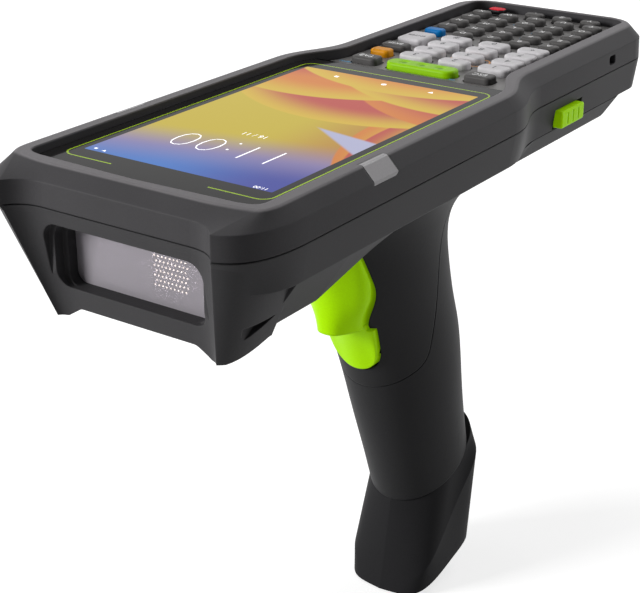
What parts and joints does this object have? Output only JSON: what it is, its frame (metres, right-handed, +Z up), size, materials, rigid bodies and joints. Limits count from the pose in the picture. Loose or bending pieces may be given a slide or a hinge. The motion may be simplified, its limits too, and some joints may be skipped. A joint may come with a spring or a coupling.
{
  "type": "portable barcode data terminal",
  "caption": "Pistol-grip mobile computer with a touch screen over a key field, a barcode reader window in the nose and a sprung trigger on the grip.",
  "frame": {"origin": "middle of the overall width and length, at the height of the lowest point of the grip's sole", "axes": "-Y towards the reader window in the nose, +Y towards the key end, +Z up and square to the screen glass, +X to the right of someone who looks down on the screen with the keys at the far end"},
  "size_m": [0.0768, 0.2064, 0.1593],
  "materials": {
    "shell_plastic": "fine spark-eroded grain",
    "grip_plastic": "fine grain, slightly soft touch",
    "battery_plastic": "fine grain",
    "seal_rubber": "smooth, dull",
    "display_cover_glass": "polished, printed black border",
    "display_cell": "smooth, lit picture",
    "key_plate_plastic": "fine grain with printed legends",
    "board_laminate": "solder-masked laminate",
    "shield_metal": "pressed sheet",
    "engine_plastic": "dull black",
    "lens_glass": "coated, polished",
    "lamp_plastic": "clear with cream chips",
    "window_glass": "polished, faint lilac coating",
    "pipe_plastic": "smoked, smooth",
    "screw_steel": "zinc plated",
    "pin_steel": "ground",
    "contact_brass": "gold plated",
    "trigger_lime": "satin lime",
    "key_lime": "satin lime",
    "key_orange": "satin",
    "key_blue": "satin",
    "key_red": "satin",
    "key_white": "satin, printed legends",
    "key_dark": "satin, printed legends"
  },
  "bodies": {
    "handset": {"top_housing": "shell_plastic", "bottom_housing": "shell_plastic", "housing_seal": "seal_rubber", "display_glass": "display_cover_glass", "display_gasket": "seal_rubber", "display_panel": "display_cell", "keypad_plate": "key_plate_plastic", "keypad_mat": "seal_rubber", "keypad_board": "board_laminate", "main_board": "board_laminate", "shield_cans": "shield_metal", "scan_engine": "engine_plastic", "scan_lens": "lens_glass", "lamp_panel": "lamp_plastic", "scan_window": "window_glass", "window_gasket": "seal_rubber", "light_pipe_left": "pipe_plastic", "light_pipe_right": "pipe_plastic", "housing_screws": "screw_steel", "grip_shroud": "shell_plastic", "grip_sleeve": "grip_plastic", "grip_foot": "shell_plastic", "trigger_pin": "pin_steel", "trigger_switch": "engine_plastic", "grip_screws": "screw_steel", "foot_screw": "screw_steel", "battery": "battery_plastic", "battery_contacts": "contact_brass", "rear_bumper": "seal_rubber", "speaker": "engine_plastic"},
    "trigger": {"trigger": "trigger_lime", "trigger_spring": "screw_steel"},
    "latch_left": {"battery_latch_left": "shell_plastic"},
    "latch_right": {"battery_latch_right": "shell_plastic"},
    "scan_key": {"scan_key": "key_lime"},
    "top_key_left": {"top_key_left": "key_dark"},
    "top_key_right": {"top_key_right": "key_dark"},
    "orange_key": {"orange_key": "key_orange"},
    "wide_key": {"wide_key": "key_dark"},
    "enter_key": {"enter_key": "key_white"},
    "blue_key": {"blue_key": "key_blue"},
    "power_key": {"power_key": "key_red"},
    "number_key_1": {"number_key_1": "key_white"},
    "number_key_2": {"number_key_2": "key_white"},
    "number_key_3": {"number_key_3": "key_white"},
    "number_key_4": {"number_key_4": "key_white"},
    "number_key_5": {"number_key_5": "key_white"},
    "number_key_6": {"number_key_6": "key_white"},
    "number_key_7": {"number_key_7": "key_white"},
    "number_key_8": {"number_key_8": "key_white"},
    "number_key_9": {"number_key_9": "key_white"},
    "number_key_10": {"number_key_10": "key_white"},
    "number_key_11": {"number_key_11": "key_white"},
    "number_key_12": {"number_key_12": "key_white"},
    "letter_keys_1": {"letter_keys_1": "key_dark"},
    "letter_keys_2": {"letter_keys_2": "key_dark"},
    "letter_keys_3": {"letter_keys_3": "key_dark"},
    "letter_keys_4": {"letter_keys_4": "key_dark"},
    "letter_keys_5": {"letter_keys_5": "key_dark"},
    "letter_keys_6": {"letter_keys_6": "key_dark"}
  },
  "joints": [
    {"name": "trigger_pull", "type": "hinge", "parent": "handset", "child": "trigger", "pos_m": [0, -0.00695, 0.1204], "axis": [1, 0, 0], "range_deg": [0, 8], "stiffness_Nm_per_rad": 0.3},
    {"name": "latch_left_slide", "type": "slide", "parent": "handset", "child": "latch_left", "axis": [0, 1, 0], "range_m": [0, 0.002], "stiffness_N_per_m": 400},
    {"name": "latch_right_slide", "type": "slide", "parent": "handset", "child": "latch_right", "axis": [0, 1, 0], "range_m": [0, 0.002], "stiffness_N_per_m": 400},
    {"name": "scan_key_press", "type": "slide", "parent": "handset", "child": "scan_key", "axis": [0, 0, -1], "range_m": [0, 0.0005], "stiffness_N_per_m": 400},
    {"name": "top_key_left_press", "type": "slide", "parent": "handset", "child": "top_key_left", "axis": [0, 0, -1], "range_m": [0, 0.0005], "stiffness_N_per_m": 400},
    {"name": "top_key_right_press", "type": "slide", "parent": "handset", "child": "top_key_right", "axis": [0, 0, -1], "range_m": [0, 0.0005], "stiffness_N_per_m": 400},
    {"name": "orange_key_press", "type": "slide", "parent": "handset", "child": "orange_key", "axis": [0, 0, -1], "range_m": [0, 0.0005], "stiffness_N_per_m": 400},
    {"name": "wide_key_press", "type": "slide", "parent": "handset", "child": "wide_key", "axis": [0, 0, -1], "range_m": [0, 0.0005], "stiffness_N_per_m": 400},
    {"name": "enter_key_press", "type": "slide", "parent": "handset", "child": "enter_key", "axis": [0, 0, -1], "range_m": [0, 0.0005], "stiffness_N_per_m": 400},
    {"name": "blue_key_press", "type": "slide", "parent": "handset", "child": "blue_key", "axis": [0, 0, -1], "range_m": [0, 0.0005], "stiffness_N_per_m": 400},
    {"name": "power_key_press", "type": "slide", "parent": "handset", "child": "power_key", "axis": [0, 0, -1], "range_m": [0, 0.0005], "stiffness_N_per_m": 400},
    {"name": "number_key_1_press", "type": "slide", "parent": "handset", "child": "number_key_1", "axis": [0, 0, -1], "range_m": [0, 0.0005], "stiffness_N_per_m": 400},
    {"name": "number_key_2_press", "type": "slide", "parent": "handset", "child": "number_key_2", "axis": [0, 0, -1], "range_m": [0, 0.0005], "stiffness_N_per_m": 400},
    {"name": "number_key_3_press", "type": "slide", "parent": "handset", "child": "number_key_3", "axis": [0, 0, -1], "range_m": [0, 0.0005], "stiffness_N_per_m": 400},
    {"name": "number_key_4_press", "type": "slide", "parent": "handset", "child": "number_key_4", "axis": [0, 0, -1], "range_m": [0, 0.0005], "stiffness_N_per_m": 400},
    {"name": "number_key_5_press", "type": "slide", "parent": "handset", "child": "number_key_5", "axis": [0, 0, -1], "range_m": [0, 0.0005], "stiffness_N_per_m": 400},
    {"name": "number_key_6_press", "type": "slide", "parent": "handset", "child": "number_key_6", "axis": [0, 0, -1], "range_m": [0, 0.0005], "stiffness_N_per_m": 400},
    {"name": "number_key_7_press", "type": "slide", "parent": "handset", "child": "number_key_7", "axis": [0, 0, -1], "range_m": [0, 0.0005], "stiffness_N_per_m": 400},
    {"name": "number_key_8_press", "type": "slide", "parent": "handset", "child": "number_key_8", "axis": [0, 0, -1], "range_m": [0, 0.0005], "stiffness_N_per_m": 400},
    {"name": "number_key_9_press", "type": "slide", "parent": "handset", "child": "number_key_9", "axis": [0, 0, -1], "range_m": [0, 0.0005], "stiffness_N_per_m": 400},
    {"name": "number_key_10_press", "type": "slide", "parent": "handset", "child": "number_key_10", "axis": [0, 0, -1], "range_m": [0, 0.0005], "stiffness_N_per_m": 400},
    {"name": "number_key_11_press", "type": "slide", "parent": "handset", "child": "number_key_11", "axis": [0, 0, -1], "range_m": [0, 0.0005], "stiffness_N_per_m": 400},
    {"name": "number_key_12_press", "type": "slide", "parent": "handset", "child": "number_key_12", "axis": [0, 0, -1], "range_m": [0, 0.0005], "stiffness_N_per_m": 400},
    {"name": "letter_keys_1_press", "type": "slide", "parent": "handset", "child": "letter_keys_1", "axis": [0, 0, -1], "range_m": [0, 0.0005], "stiffness_N_per_m": 400},
    {"name": "letter_keys_2_press", "type": "slide", "parent": "handset", "child": "letter_keys_2", "axis": [0, 0, -1], "range_m": [0, 0.0005], "stiffness_N_per_m": 400},
    {"name": "letter_keys_3_press", "type": "slide", "parent": "handset", "child": "letter_keys_3", "axis": [0, 0, -1], "range_m": [0, 0.0005], "stiffness_N_per_m": 400},
    {"name": "letter_keys_4_press", "type": "slide", "parent": "handset", "child": "letter_keys_4", "axis": [0, 0, -1], "range_m": [0, 0.0005], "stiffness_N_per_m": 400},
    {"name": "letter_keys_5_press", "type": "slide", "parent": "handset", "child": "letter_keys_5", "axis": [0, 0, -1], "range_m": [0, 0.0005], "stiffness_N_per_m": 400},
    {"name": "letter_keys_6_press", "type": "slide", "parent": "handset", "child": "letter_keys_6", "axis": [0, 0, -1], "range_m": [0, 0.0005], "stiffness_N_per_m": 400}
  ]
}
